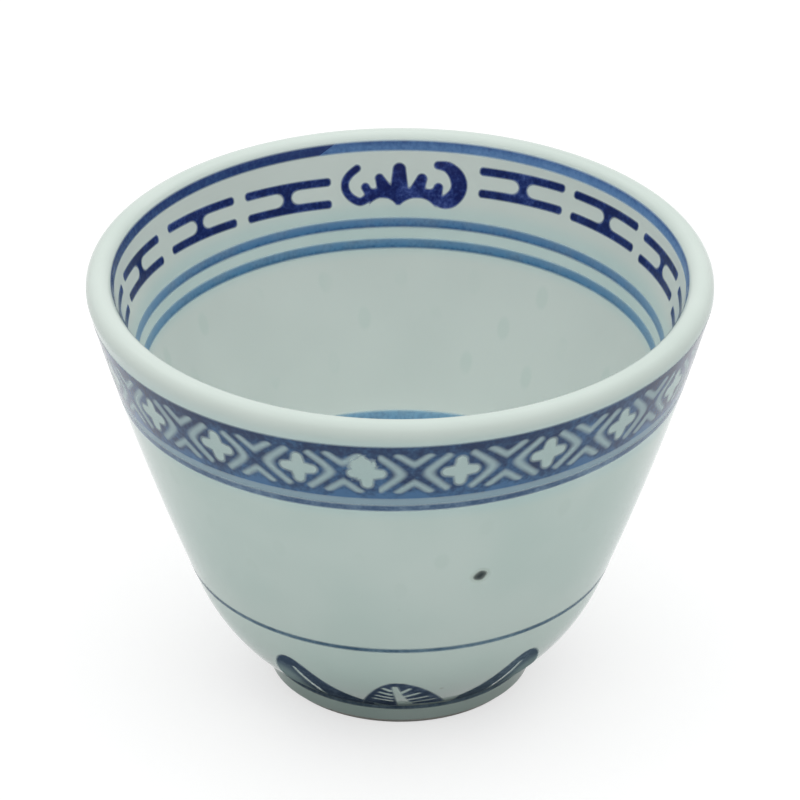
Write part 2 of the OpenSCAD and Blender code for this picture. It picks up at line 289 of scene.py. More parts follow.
def grain_marks(start):
    """1 inside the rice grains that show faintly through the coat, 0 outside."""
    turn, high = around(start)
    pitch = 2 * math.pi / GRAIN_COUNT
    found = None
    for number, level in enumerate(GRAIN_ROWS):
        shift = pitch / 2 * (number % 2)
        across = (turn - shift).maths("WRAP", pitch / 2, -pitch / 2) * (GRAIN_GIRTH / GRAIN_HALF_WIDTH)
        along = (high - level) * (1 / GRAIN_HALF_LENGTH)
        mark = 1 - reach_of(across, along).ease(0.55, 1.1)
        found = mark if found is None else found.maths("MAXIMUM", mark)
    return found


POOLS_AT = (11.0, 22.0)
CLEARS_AT = (50.0, 59.5)
HAZE_FADES = 1.2
BLUE_HAZE = (0.45, 0.63, 0.625, 1)
MILK = (0.8, 0.85, 0.81, 1)
MILK_CLOUDS = 45.0
GRAIN_SHADE = (0.5, 0.62, 0.57, 1)
GRAIN_CLOUDS = 90.0
FRECKLE = (0.3, 0.31, 0.27, 1)
FRECKLE_CELLS = 170.0
RIPPLES = 260.0


def white_glaze(name, low, pooled, clear, hazed):
    """Cool white glaze: it pooled down the wall, is clearer over the lip, and took up blue by the bands."""
    coat, start = glazed(name)
    high = around(start)[1]
    run_down = high.ease(*CLEARS_AT).tint(high.ease(*POOLS_AT).tint(low, pooled), clear)
    blued = (between(high, *hazed, HAZE_FADES) * 0.5).tint(run_down, BLUE_HAZE)
    cloud = noise(start, MILK_CLOUDS)
    milky = (cloud.ease(0.32, 0.68) * 0.2).tint(blued, MILK)
    showing = grain_marks(start) * noise(start, GRAIN_CLOUDS).ease(0.42, 0.62)
    marked = (showing * 0.3).tint(milky, GRAIN_SHADE)
    cells = {"Vector": own_space(start), "Scale": FRECKLE_CELLS}
    specks, pick = (start.node("ShaderNodeTexVoronoi", inputs=cells, out=i) for i in range(2))
    chosen = start.node("ShaderNodeSeparateColor", inputs={0: pick}).ease(0.9, 0.92)
    freckled = ((1 - specks.ease(0.03, 0.09)) * chosen * 0.35).tint(marked, FRECKLE)
    skin = bumped(noise(start, RIPPLES, 1.0), 0.06, 0.1)
    fire(coat, Base_Color=freckled, Roughness=cloud * 0.05 + 0.07, Normal=skin)
    return coat


outer_white = white_glaze(
    "outer_white", low=(0.51, 0.66, 0.61, 1), pooled=(0.53, 0.652, 0.61, 1),
    clear=(0.59, 0.67, 0.625, 1), hazed=(45.2, 59.3))
wiped_under = (FOOT_WIPED[0] - COAT, FOOT_WIPED[1])
outer_section = (
    outer_face(0)
    + soft_corner(outer_face(0)[-1], FOOT_TOP, FOOT_WIPED, FOOT_TOP_ROUND)
    + soft_corner(FOOT_TOP, FOOT_WIPED, wiped_under, WIPED_ROUND, steps=4)
    + [wiped_under, (FOOT_TOP[0] - COAT, FOOT_TOP[1])]
    + outer_face(COAT)[::-1])
outer_coat = turned("outer_coat", outer_section, outer_white)
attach(outer_coat, "root")
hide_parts("outer_glaze")


# Inner glaze coat.
# Glaze poured into the bowl and tipped out again: it lines the wall and the round floor of the
# well, and meets the outer coat under the blue line inside the lip.
WELL_MIDDLE = (0, 37.118)
WELL_RADIUS = 30.118
WELL_MEETS_WALL = 20.161
INNER_WALL_STEPS = 30
WELL_STEPS = 60


def inner_face(depth):
    """The inner coat's face, or its back at a depth, from the seam to the middle of the floor."""
    sweep = INNER_SWEEP + depth
    wall = arc(SWEEP_MIDDLE, sweep, sweep_angle(SEAM_HEIGHT, sweep), -WELL_MEETS_WALL, INNER_WALL_STEPS)
    return wall + arc(WELL_MIDDLE, WELL_RADIUS + depth, -WELL_MEETS_WALL, -90, WELL_STEPS)[1:]


inner_white = white_glaze(
    "inner_white", low=(0.65, 0.71, 0.67, 1), pooled=(0.622, 0.685, 0.65, 1),
    clear=(0.62, 0.68, 0.645, 1), hazed=(45.2, 51.6))
inner_section = inner_face(0)[::-1] + inner_face(COAT)
inner_section[0] = (0, inner_section[0][1])
inner_section[-1] = (0, inner_section[-1][1])
inner_coat = turned("inner_coat", inner_section, inner_white)
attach(inner_coat, "root")
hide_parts("inner_glaze")


# Foot ring and the glaze inside it.
# The ring was luted on and turned with the bowl. Its resting edge is bare, fine biscuit, and a thin
# coat of the same glaze fills the recess that it encloses.
RECESS = 14.2
RECESS_ROOF = 3.2
RECESS_ROUND = 0.8
FOOT_CLAY = 17.9
FOOT_LOW = 17.4
FOOT_BEVEL = 0.6
FOOT_ROUND = 0.25
BISCUIT_DULL = (0.6, 0.6, 0.55, 1)
BISCUIT_LIGHT = (0.72, 0.72, 0.67, 1)
BISCUIT_HANDLED = (0.45, 0.45, 0.41, 1)
BISCUIT_GRAIN = 900.0
BISCUIT_WEAR = 90.0

biscuit = bpy.data.materials.new("bare_biscuit")
biscuit.use_nodes = True
start = Wire(biscuit.node_tree)
grain = noise(start, BISCUIT_GRAIN, 4.0)
chalky = grain.ease(0.3, 0.7).tint(BISCUIT_DULL, BISCUIT_LIGHT)
handled = (noise(start, BISCUIT_WEAR).ease(0.5, 0.75) * 0.4).tint(chalky, BISCUIT_HANDLED)
fire(biscuit, Base_Color=handled, Roughness=grain * 0.15 + 0.7, Normal=bumped(grain, 0.25, 0.05))

ring_corners = [
    (FOOT_CLAY, FOOT_TOP[1]), (RECESS, FOOT_TOP[1]), (RECESS, FOOT_BEVEL),
    (RECESS + FOOT_BEVEL, 0), (FOOT_LOW - FOOT_BEVEL, 0), (FOOT_LOW, FOOT_BEVEL)]
ring_section = ring_corners[:2]
for corners in zip(ring_corners[1:], ring_corners[2:], ring_corners[3:] + ring_corners[:1]):
    ring_section = ring_section + soft_corner(*corners, FOOT_ROUND, steps=4)
foot = turned("foot", ring_section, biscuit)
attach(foot, "root")
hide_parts("foot_ring")

roof_corner = (RECESS - COAT, RECESS_ROOF)
recess_end = (RECESS - COAT, FOOT_WIPED[1])
recess_section = (
    [(0, RECESS_ROOF)]
    + soft_corner((0, RECESS_ROOF), roof_corner, recess_end, RECESS_ROUND)
    + soft_corner(roof_corner, recess_end, (RECESS, FOOT_WIPED[1]), WIPED_ROUND, steps=4)
    + [(RECESS, FOOT_WIPED[1]), (RECESS, FOOT_TOP[1]), (0, FOOT_TOP[1])])
base_coat = turned("base_coat", recess_section, outer_white)
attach(base_coat, "root")
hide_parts("base_glaze")


# Bowl body and rice grains.
# The jiggered porcelain under the coats, and the pierced grains that the glaze filled. Both lie
# between the two coats, so they keep their solids and only get their own finish.
CLAY_DULL = (0.7, 0.7, 0.66, 1)
CLAY_LIGHT = (0.78, 0.78, 0.74, 1)
CLAY_GRAIN = 700.0
FILL_DULL = (0.6, 0.68, 0.63, 1)
FILL_LIGHT = (0.68, 0.74, 0.69, 1)
FILL_CLOUDS = 500.0

clay, start = glazed("porcelain_clay")
clay_grain = noise(start, CLAY_GRAIN, 3.0)
fire(clay, Base_Color=clay_grain.tint(CLAY_DULL, CLAY_LIGHT), Roughness=clay_grain * 0.2 + 0.55)
grain_fill, start = glazed("grain_fill")
milk = noise(start, FILL_CLOUDS)
fire(grain_fill, Base_Color=milk.tint(FILL_DULL, FILL_LIGHT), Roughness=milk * 0.05 + 0.06)
for node, finish in (("bowl_body", clay), ("grain_windows", grain_fill)):
    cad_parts[node].data.materials.clear()
    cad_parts[node].data.materials.append(finish)


# Blue line inside the lip.
# A band of cobalt laid with a loaded brush as the bowl turned: it starts dark behind the bat's left
# wing, runs leftwards and comes round paler, and it sank into the glaze in the firing.
FILM_LIFT = 0.025
FILM_DEPTH = 0.15
FILM_EDGE = 0.22
FILM_ROWS = 14
GLAZE_WHITE = (0.6, 0.69, 0.65, 1)
FULL_COVER = 0.98
PIGMENT = 1900.0


def inner_wall(z, lift):
    """Radius of the inner wall and the lip's inner round at a height, raised by a film's lift."""
    if z > LIP_MIDDLE[1] + LIP_ROUND * math.sin(math.radians(LIP_SLOPE)):
        return LIP_MIDDLE[0] - math.sqrt((LIP_ROUND + lift) ** 2 - (z - LIP_MIDDLE[1]) ** 2)
    if z < WELL_MIDDLE[1] - WELL_RADIUS * math.sin(math.radians(WELL_MEETS_WALL)):
        return math.sqrt((WELL_RADIUS - lift) ** 2 - (z - WELL_MIDDLE[1]) ** 2)
    return SWEEP_MIDDLE[0] + math.sqrt((INNER_SWEEP - lift) ** 2 - (z - SWEEP_MIDDLE[1]) ** 2)


def ring_film(name, wall, low, high, colour, lift=FILM_LIFT):
    """A ring of colour that follows a wall from one height to another."""
    levels = np.linspace(low - FILM_EDGE, high + FILM_EDGE, FILM_ROWS)
    face = [(wall(z, lift), z) for z in levels]
    back = [(wall(z, -FILM_DEPTH), z) for z in levels[::-1]]
    return turned(name, face + back, colour)


def inked(material, tone, cover):
    """Fires a colour that covers the glaze in part. The white under it keeps its share of the light."""
    fire(material, Base_Color=(1 - cover).tint(tone, GLAZE_WHITE, "ADD"), Alpha=cover)


def uneven(start, scale, swing, detail=2.0):
    """Clouds that swing about 0, for ink that lies thinner here and thicker there."""
    return (noise(start, scale, detail) - 0.5) * swing


RIM_LINE = (59.05, 60.42)
RIM_BLEED = 0.22
RIM_STREAKS = 420.0
RIM_LOADED = (0.006, 0.025, 0.14, 1)
RIM_DRAINED = (0.1, 0.235, 0.5, 1)
BRUSH_START = math.radians(180 + 13.4)
BRUSH_LEAN = 0.045

rim_blue, start = glazed("brushed_cobalt")
turn, high = around(start)
behind = turn - BRUSH_START - (RIM_LINE[1] - high) * BRUSH_LEAN
run = behind.maths("WRAP", 2 * math.pi, 0.0) * (0.5 / math.pi)
drained = run.ease(0.0, 0.07) * 0.16 + run.ease(0.3, 0.78) * 0.6 - run.ease(0.84, 0.97) * 0.15
heavy_top = high.ease(RIM_LINE[0] + 0.5, RIM_LINE[1])
loose = uneven(start, RIM_STREAKS, 0.35, 3.0) + uneven(start, PIGMENT, 0.45)
paleness = drained * (1 - heavy_top * 0.4) + loose
washed = paleness.ease(-0.1, 1.0).tint(RIM_LOADED, RIM_DRAINED)
held = FULL_COVER - paleness.ease(0.4, 1.2) * 0.1
inked(rim_blue, washed, between(high, *RIM_LINE, RIM_BLEED) * held)
rim_band = ring_film("rim_band", inner_wall, *RIM_LINE, rim_blue)
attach(rim_band, "root")
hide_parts("rim_line")


# Three washed rings inside.
# Two thin washes of cobalt under the fret and one low in the well, all banded on the wheel. The
# wash ran down a little while it was wet, so the lower edge of each is the darker one.
RING_BLEED = 0.26
RING_STREAKS = 380.0
RING_DRIFT = 60.0
REFLECTED_PALE_WASH = (0.23, 0.41, 0.57, 1)


def washed_ring(name, node, low, high, pale, deep, thinness):
    """One washed ring: its finish, its film and what it stands for. Towards the front and sides it is
    painted paler, a painted reflection of the room on the slanting wall.
    """
    wash, start = glazed(name + "_wash")
    turn, level = around(start)
    fall = (level - low) * (1 / (high - low))
    ran_down = 1 - fall.ease(0.0, 0.5)
    streak = noise(start, RING_STREAKS, 4.0)
    loose = (streak - 0.5) * 1.5 + uneven(start, PIGMENT, 1.3) + uneven(start, RING_DRIFT, 1.2)
    wet = (ran_down * 0.75 + loose + 0.2).ease(0.0, 1.1).tint(pale, deep)
    # Painted reflection: the ring is painted paler towards the front and sides, where the wall slants away.
    painted_side_sheen = (turn.maths("COSINE") + 1).ease(0.1, 1.2)
    held = FULL_COVER - fall.ease(0.3, 1.0) * 0.1 - (streak - 0.4).ease(0.0, 0.4) * thinness
    inked(wash, (painted_side_sheen * 0.55).tint(wet, REFLECTED_PALE_WASH), between(level, low, high, RING_BLEED) * held)
    ring = ring_film(name, inner_wall, low, high, wash)
    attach(ring, "root")
    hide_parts(node)


washed_ring("upper_wash", "upper_ring", 48.58, 49.9,
            pale=(0.07, 0.19, 0.375, 1), deep=(0.018, 0.085, 0.225, 1), thinness=0.1)
washed_ring("lower_wash", "lower_ring", 45.75, 47.08,
            pale=(0.08, 0.215, 0.385, 1), deep=(0.022, 0.105, 0.235, 1), thinness=0.1)
washed_ring("well_wash", "well_ring", 22.2, 24.05,
            pale=(0.16, 0.34, 0.52, 1), deep=(0.06, 0.18, 0.34, 1), thinness=0.12)


# Fret keys.
# Twelve H-shaped keys of a printed transfer, four between each two bats. The print is dense and
# dark, with its corners filled in by the ink, and it sits a little unevenly round the bowl.
FILM_CELL = 0.16
INWARD = -1.0
OUTWARD = 1.0
PRINT_BLEED = 0.2
PRINT_MOTTLE = 520.0
PRINT_POOLS = 130.0


def stroke(x, y, start, end, start_radius, end_radius):
    """Distance to a brush stroke that runs from point to point."""
    run = np.subtract(end, start)
    share = np.clip(((x - start[0]) * run[0] + (y - start[1]) * run[1]) / np.dot(run, run), 0, 1)
    width = start_radius + (end_radius - start_radius) * share
    return np.hypot(x - start[0] - share * run[0], y - start[1] - share * run[1]) - width


def flow(one, other, soft):
    """Distance to two shapes whose ink flows together at the corners."""
    fill = np.maximum(soft - np.abs(one - other), 0) / soft
    return np.minimum(one, other) - fill * fill * soft / 4


def cut_film(name, distance, left, right, low, high):
    """A flat film in the outline of a motif, in mm, that knows how far each point is from its edge."""
    xs = np.arange(left, right + FILM_CELL, FILM_CELL)
    ys = np.arange(low, high + FILM_CELL, FILM_CELL)
    far = distance(*np.meshgrid(xs, ys, indexing="ij")) - FILM_EDGE
    spots, known, faces = [], {}, []

    def spot(key, x, y, d):
        if key not in known:
            known[key] = len(spots)
            spots.append((x, y, d + FILM_EDGE))
        return known[key]

    for i in range(len(xs) - 1):
        for j in range(len(ys) - 1):
            ring = [(i, j), (i + 1, j), (i + 1, j + 1), (i, j + 1)]
            face = []
            for a, b in zip(ring, ring[1:] + ring[:1]):
                da, db = far[a], far[b]
                if da < 0:
                    face.append(spot(a, xs[a[0]], ys[a[1]], da))
                if (da < 0) != (db < 0):
                    t = da / (da - db)
                    x = xs[a[0]] + t * (xs[b[0]] - xs[a[0]])
                    y = ys[a[1]] + t * (ys[b[1]] - ys[a[1]])
                    face.append(spot(tuple(sorted((a, b))), x, y, 0.0))
            if len(face) > 2:
                faces.append(face)
    count = len(spots)
    edges = {(f[k - 1], f[k]) for f in faces for k in range(len(f))}
    walls = [(b, a, a + count, b + count) for a, b in edges if (b, a) not in edges]
    under = [[v + count for v in reversed(f)] for f in faces]
    points = [(x * MM, y * MM, z * MM) for z in (FILM_LIFT, -FILM_DEPTH) for x, y, d in spots]
    mesh = bpy.data.meshes.new(name)
    mesh.from_pydata(points, [], faces + under + walls)
    inset = mesh.attributes.new("from_edge", "FLOAT", "POINT")
    inset.data.foreach_set("value", [d for x, y, d in spots] * 2)
    return mesh


laying, hand = new_tree("laying", {
    "Motif": "Geometry", "Places": "Object", "Colour": "Material", "Facing": "Float", "Girth": "Float",
    "Middle radius": "Float", "Middle height": "Float", "Sweep": "Float", "Level": "Float"})
spread = hand["Places"].node("GeometryNodeObjectInfo", inputs={0: hand["Places"]}, out="Geometry")
lean = spread.node("GeometryNodeInputNamedAttribute", {"data_type": "FLOAT"}, {"Name": "lean"})
askew = lean.node("ShaderNodeCombineXYZ", inputs={2: lean})
copies = spread.node("GeometryNodeInstanceOnPoints", inputs={
    "Points": spread, "Instance": hand["Motif"], "Rotation": askew})
flat = copies.node("GeometryNodeRealizeInstances", inputs={0: copies})
lies = flat.node("GeometryNodeInputPosition")
along, up, lift = (lies.node("ShaderNodeSeparateXYZ", inputs={0: lies}, out=i) for i in range(3))
raised = hand["Sweep"] + hand["Facing"] * lift
tilt = hand["Level"] + up / hand["Sweep"]
reach = hand["Middle radius"] + raised * tilt.maths("COSINE")
turn = along / hand["Girth"]
pressed = turn.node("ShaderNodeCombineXYZ", inputs={
    0: reach * turn.maths("SINE"), 1: reach * turn.maths("COSINE") * hand["Facing"] * -1,
    2: hand["Middle height"] + raised * tilt.maths("SINE")})
laid_flat = flat.node("GeometryNodeSetPosition", inputs={"Geometry": flat, "Position": pressed})
end_tree(laid_flat, hand["Colour"])


def laid_on(name, motif, places, girth, colour, facing, middle, sweep, level):
    """Lays copies of a flat film on a curved wall. Places are turns in degrees, rises in mm and leans."""
    dots = bpy.data.meshes.new(name + "_places")
    dots.from_pydata([(math.radians(turn) * girth * MM, rise * MM, 0) for turn, rise, _ in places], [], [])
    leans = dots.attributes.new("lean", "FLOAT", "POINT")
    leans.data.foreach_set("value", [math.radians(lean) for _, _, lean in places])
    guide = bpy.data.objects.new(name + "_places", dots)
    piece = made_by(laying, name, motif, {
        "Places": guide, "Colour": colour, "Facing": facing, "Girth": girth * MM,
        "Middle radius": middle[0] * MM, "Middle height": middle[1] * MM, "Sweep": sweep * MM,
        "Level": math.asin((level - middle[1]) / sweep)})
    bpy.data.objects.remove(guide)
    bpy.data.meshes.remove(dots)
    return piece


def from_edge(start):
    """How far a point of a film lies outside the motif's edge, in mm. Inside, it is below 0."""
    return start.node("ShaderNodeAttribute", {"attribute_name": "from_edge"}, out="Fac")


def printed(name, deep, pale, shine=GLAZE_SHINE, painted_sheen=None):
    """A printed cobalt: dense within a stroke and bled out at its edge. The last argument paints a pale
    sheen, a painted reflection, over its tone.
    """
    ink, start = glazed(name, shine)
    edge = from_edge(start)
    loose = (
        uneven(start, PRINT_MOTTLE, 0.8, 3.0) + uneven(start, PIGMENT, 0.9)
        + uneven(start, PRINT_POOLS, 0.8))
    thin = loose + edge.ease(-0.45, 0.05) * 0.2
    tone = thin.ease(-0.2, 0.65).tint(deep, pale)
    if painted_sheen:
        tone = painted_sheen(start, tone)
    inked(ink, tone, (1 - edge.ease(-PRINT_BLEED, PRINT_BLEED)) * (1 - thin.ease(0.1, 0.9) * 0.12))
    return ink


KEY_HALF_LENGTH = 6.5
KEY_HALF_PITCH = 1.58
KEY_HALF_STROKE = 0.61
KEY_FILL = 1.3
KEY_CORNER = 0.52
KEY_FIELD = (-7.0, 7.0, -2.6, 2.6)
FRET_HEIGHT = 54.7
FRET_GIRTH = 37.5
KEY_PLACES = (
    (-24.8, -0.75, -1.8), (-47.5, -0.1, -2.6), (-71.0, 0.3, -2.0), (-93.5, 0.2, 0.0), (26.9, 0.95, 1.4),
    (49.1, 0.95, 0.3), (71.6, 0.7, 1.2), (94.5, 0.3, 0.0), (145.6, 0.0, 0.5), (168.3, 0.0, -0.6),
    (-168.9, -0.1, 0.8), (-146.2, -0.2, -0.5))


def key_outline(x, y):
    """An H on its side: two bars, and a post between them with ink in its four corners."""
    past_end = np.abs(x) - KEY_HALF_LENGTH + KEY_CORNER
    past_side = np.abs(np.abs(y) - KEY_HALF_PITCH) - KEY_HALF_STROKE + KEY_CORNER
    outside = np.hypot(np.maximum(past_end, 0), np.maximum(past_side, 0))
    bars = outside + np.minimum(np.maximum(past_end, past_side), 0) - KEY_CORNER
    post = np.maximum(np.abs(x) - KEY_HALF_STROKE, np.abs(y) - KEY_HALF_PITCH)
    return np.maximum(flow(bars, post, KEY_FILL), np.abs(y) - KEY_HALF_PITCH - KEY_HALF_STROKE)


key_ink = printed("fret_print", deep=(0.009, 0.019, 0.1, 1), pale=(0.035, 0.07, 0.27, 1))
key_film = cut_film("fret_band", key_outline, *KEY_FIELD)
fret_band = laid_on("fret_band", key_film, KEY_PLACES, FRET_GIRTH, key_ink,
                    INWARD, SWEEP_MIDDLE, INNER_SWEEP, FRET_HEIGHT)
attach(fret_band, "root")
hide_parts(*[f"fret_key_{i}" for i in range(1, 13)])


# Bats.
# Three flying bats of the same transfer, a wish for luck, drawn freely: a thin left wing and a
# full right one curl over five rounded lobes, and the lower edge is scalloped to a point.
LEFT_WING = (
    (-5.93, 2.38, 0.55), (-6.92, 1.63, 0.56), (-7.56, 0.81, 0.57), (-7.73, -0.12, 0.58),
    (-7.44, -1.05, 0.58), (-6.74, -1.86, 0.58), (-5.7, -2.38, 0.6), (-4.65, -1.98, 0.62),
    (-3.6, -1.34, 0.6))
RIGHT_WING = (
    (5.25, 2.78, 0.6), (6.55, 2.62, 0.8), (7.56, 1.86, 1.0), (8.14, 0.93, 1.15), (8.31, -0.12, 1.17),
    (7.97, -1.16, 1.15), (7.09, -2.09, 1.1), (5.93, -2.44, 0.85), (4.88, -1.86, 0.75))
LOBES = (
    ((-4.3, -1.45, 0.6), (-4.85, -0.35, 0.62)), ((-2.2, -0.75, 1.1), (-2.85, 0.85, 0.64)),
    ((-0.1, -0.9, 1.3), (-0.08, 2.05, 0.93)), ((2.45, -0.85, 1.05), (3.05, 0.75, 0.76)),
    ((5.15, -1.45, 0.85), (5.4, -0.4, 0.68)))
SCALLOPS = ((-2.53, -4.4, 2.4), (2.5, -5.5, 3.49))
BODY_MIDDLE = (0.4, -1.85)
BODY_HALF = (4.7, 1.2)
BAT_FLOW = 0.35
BAT_FIELD = (-8.7, 9.8, -3.8, 3.9)
BAT_PLACES = ((0.0, -0.2, 0.0), (120.0, 0.0, 0.0), (-120.0, 0.0, 0.0))


def brush_run(points, steps=5):
    """A smooth run of the brush through points that each hold a place and a width."""
    p = np.array([points[0], *points, points[-1]])
    shares = np.linspace(0, 1, steps, endpoint=False)
    run = []
    for a, b, c, d in zip(p, p[1:], p[2:], p[3:]):
        bend = 2 * a - 5 * b + 4 * c - d
        twist = 3 * b - a - 3 * c + d
        run = run + [0.5 * (2 * b + (c - a) * t + bend * t ** 2 + twist * t ** 3) for t in shares]
    return run + [p[-1]]


def brush_line(x, y, bends):
    """Distance to a line drawn through points that each hold a place and a width."""
    return np.min([stroke(x, y, a[:2], b[:2], a[2], b[2]) for a, b in zip(bends, bends[1:])], axis=0)


def bat_outline(x, y):
    """A scalloped body under five lobes, between two curled wings."""
    shape = np.maximum(np.abs(x - BODY_MIDDLE[0]) - BODY_HALF[0], np.abs(y - BODY_MIDDLE[1]) - BODY_HALF[1])
    for middle_x, middle_y, size in SCALLOPS:
        shape = np.maximum(shape, size - np.hypot(x - middle_x, y - middle_y))
    for bends in (brush_run(LEFT_WING), brush_run(RIGHT_WING), *LOBES):
        shape = flow(shape, brush_line(x, y, bends), BAT_FLOW)
    return shape


bat_ink = printed("bat_print", deep=(0.008, 0.015, 0.1, 1), pale=(0.04, 0.075, 0.3, 1))
bat_film = cut_film("bats", bat_outline, *BAT_FIELD)
bats = laid_on("bats", bat_film, BAT_PLACES, FRET_GIRTH, bat_ink,
               INWARD, SWEEP_MIDDLE, INNER_SWEEP, FRET_HEIGHT)
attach(bats, "root")
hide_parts("bat_1", "bat_2", "bat_3")


# Lozenge border.
# A printed strip round the outside of the lip: dark lattice crossings, light chevrons round each,
# and a four-petalled flower in each lozenge. Its ends meet at the front in one narrow lozenge.
BORDER = (48.57, 58.2)
BORDER_FOOT = 47.3
BORDER_MIDDLE = 53.28
BORDER_SWAY = 0.8
BORDER_GIRTH = 40.9
BORDER_SHINE = 0.2
JOIN_WIDTH = 13.3
JOIN_AT = math.radians(-3.95)
JOIN_HALF = math.radians(JOIN_WIDTH / 2)
JOIN_PUSH = 1.6
LOZENGE = math.radians((360 - JOIN_WIDTH) / 20)
SLANT = 0.85
ACROSS = math.sin(math.atan(SLANT))
UP = math.cos(math.atan(SLANT))
BLEED = 0.38
CHEVRON = (0.13, 0.98)
CHEVRON_BOW = 1.05
CHEVRON_ENDS = (7.4, 8.4)
TIP = (0.74, 1.56)
TIP_BOW = 0.05
TIP_ENDS = (5.5, 6.4)
LIGHT_ENDS = (3.25, 3.85)
PETAL_REACH = 1.8
PETAL_WIDTH = 1.2
PETAL_TAPER = 0.22
BLOT_MIDDLE = (-2.2, 0.9)
BLOT_HALF = (1.9, 2.5)
BORDER_WAVER = 330.0
BORDER_RAGS = 800.0
BORDER_CLOUDS = 300.0
BORDER_PIGMENT = 1500.0
BORDER_POOLS = 38.0
BORDER_DEEP = (0.006, 0.026, 0.09, 1)
BORDER_PALE = (0.05, 0.145, 0.3, 1)
CHEVRON_TONE = (0.086, 0.178, 0.259, 1)
FLOWER_TONE = (0.04, 0.081, 0.119, 1)
GAP_TONE = (0.091, 0.195, 0.312, 1)


def outer_wall(z, lift):
    """Radius of the outer wall, the belly and the foot's side at a height, raised by a film's lift."""
    if z < FOOT_TOP[1]:
        lean = (FOOT_TOP[0] - FOOT_WIPED[0]) / (FOOT_TOP[1] - FOOT_WIPED[1])
        return FOOT_TOP[0] - lean * (FOOT_TOP[1] - z) + lift
    if z < BELLY_MIDDLE[1] - BELLY_RADIUS * math.sin(math.radians(BELLY_MEETS_WALL)):
        return math.sqrt((BELLY_RADIUS + lift) ** 2 - (z - BELLY_MIDDLE[1]) ** 2)
    return SWEEP_MIDDLE[0] + math.sqrt((OUTER_SWEEP + lift) ** 2 - (z - SWEEP_MIDDLE[1]) ** 2)


print_blue, start = glazed("border_print", BORDER_SHINE)
turn, high = around(start)
level = high - turn.maths("SINE") * BORDER_SWAY
off_join = (turn - JOIN_AT).maths("WRAP", math.pi, -math.pi)
past_join = abs(off_join) - JOIN_HALF
at_join = 1 - past_join.ease(-0.0001, 0.0001)
in_cell = past_join.maths("WRAP", LOZENGE, 0.0) - LOZENGE / 2
waver = uneven(start, BORDER_WAVER, 0.8)
u = (in_cell * (1 - at_join) + off_join * at_join) * BORDER_GIRTH
v = level - BORDER_MIDDLE
half_width = at_join * (JOIN_HALF * BORDER_GIRTH) + (1 - at_join) * (LOZENGE / 2 * BORDER_GIRTH)
from_crossing = half_width - abs(u) + waver
off_middle = abs(v) + waver * 0.5
out_along = from_crossing + off_middle
lit_rows = 1 - off_middle.ease(*LIGHT_ENDS)

inside_chevron = (from_crossing - reach_of(off_middle / SLANT, CHEVRON_BOW)) * ACROSS
chevron = between(inside_chevron, *CHEVRON, BLEED) * lit_rows * (1 - out_along.ease(*CHEVRON_ENDS))
chevron = chevron * (1 - at_join * (1 - u.ease(-0.2, 0.2)))
peak = (from_crossing * from_crossing * SLANT ** 2 + TIP_BOW).maths("SQRT")
inside_tip = (off_middle - peak) * UP
tip = between(inside_tip, *TIP, BLEED) * lit_rows * (1 - out_along.ease(*TIP_ENDS))

pushed = abs(u + at_join * JOIN_PUSH + waver * 0.5)
out_side = pushed.maths("MINIMUM", PETAL_REACH)
out_up = off_middle.maths("MINIMUM", PETAL_REACH)
past_side = reach_of(pushed - out_side, v) + out_side * PETAL_TAPER
past_up = reach_of(off_middle - out_up, pushed) + out_up * PETAL_TAPER
flower = 1 - past_side.maths("MINIMUM", past_up).ease(PETAL_WIDTH - BLEED, PETAL_WIDTH + BLEED)
ragged = uneven(start, BORDER_RAGS, 2.0)
blot_x = (u - BLOT_MIDDLE[0] + ragged) / BLOT_HALF[0]
blot_y = (v - BLOT_MIDDLE[1] + waver + ragged) / BLOT_HALF[1]
blot = (1 - reach_of(blot_x, blot_y).ease(0.7, 1.15)) * at_join
flower = flower.maths("MAXIMUM", blot)
light = chevron.maths("MAXIMUM", tip).maths("MAXIMUM", flower)

triangle = inside_tip.ease(1.6, 2.4) * (1 - v.ease(-0.6, 0.0))
low_down = 1 - v.ease(-4.5, -2.9)
high_up = v.ease(2.6, 4.2)
loose = (
    uneven(start, BORDER_CLOUDS, 1.2, 3.0) + uneven(start, BORDER_PIGMENT, 0.8)
    + uneven(start, BORDER_POOLS, 0.9))
thin = loose + triangle * 0.4 + low_down * 0.25 - high_up * 0.12
ink = thin.ease(-0.35, 0.65).tint(BORDER_DEEP, BORDER_PALE)
strip = between(level, *BORDER, 0.3)
gap = between(level, BORDER_FOOT, BORDER[0] + 0.5, 0.25)
tone = strip.tint(GAP_TONE, light.tint(ink, flower.tint(CHEVRON_TONE, FLOWER_TONE)))
cover = strip * (FULL_COVER - light * 0.5 - flower * 0.26)
inked(print_blue, tone, cover.maths("MAXIMUM", gap * 0.65))
lozenge_band = ring_film("lozenge_band", outer_wall, BORDER_FOOT - BORDER_SWAY, BORDER[1] + BORDER_SWAY,
                         print_blue)
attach(lozenge_band, "root")
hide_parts("lozenge_border", "border_reserves")


# Lines outside.
# The line under the border, the thin line round the waist and the line that closes the lappets
# above the foot were banded on the wheel with a fine brush.
LINE_STREAKS = 450.0
LINE_DRIFT = 45.0
OVER_LIFT = FILM_LIFT + 0.01


def fine_line(name, node, low, high, deep, pale, soft, sway=0.0, lift=FILM_LIFT, shine=0.03):
    """One banded line: its finish, its film and what it stands for."""
    blue, start = glazed(name + "_blue", shine)
    turn, level = around(start)
    level = level - turn.maths("SINE") * sway
    loose = (
        uneven(start, LINE_STREAKS, 0.8, 3.0) + uneven(start, PIGMENT, 0.5)
        + uneven(start, LINE_DRIFT, 0.9))
    thin = loose.ease(-0.3, 0.5)
    inked(blue, thin.tint(deep, pale), between(level, low, high, soft) * (0.97 - thin * 0.15))
    line = ring_film(name, outer_wall, low - sway, high + sway, blue, lift)
    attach(line, "root")
    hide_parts(node)


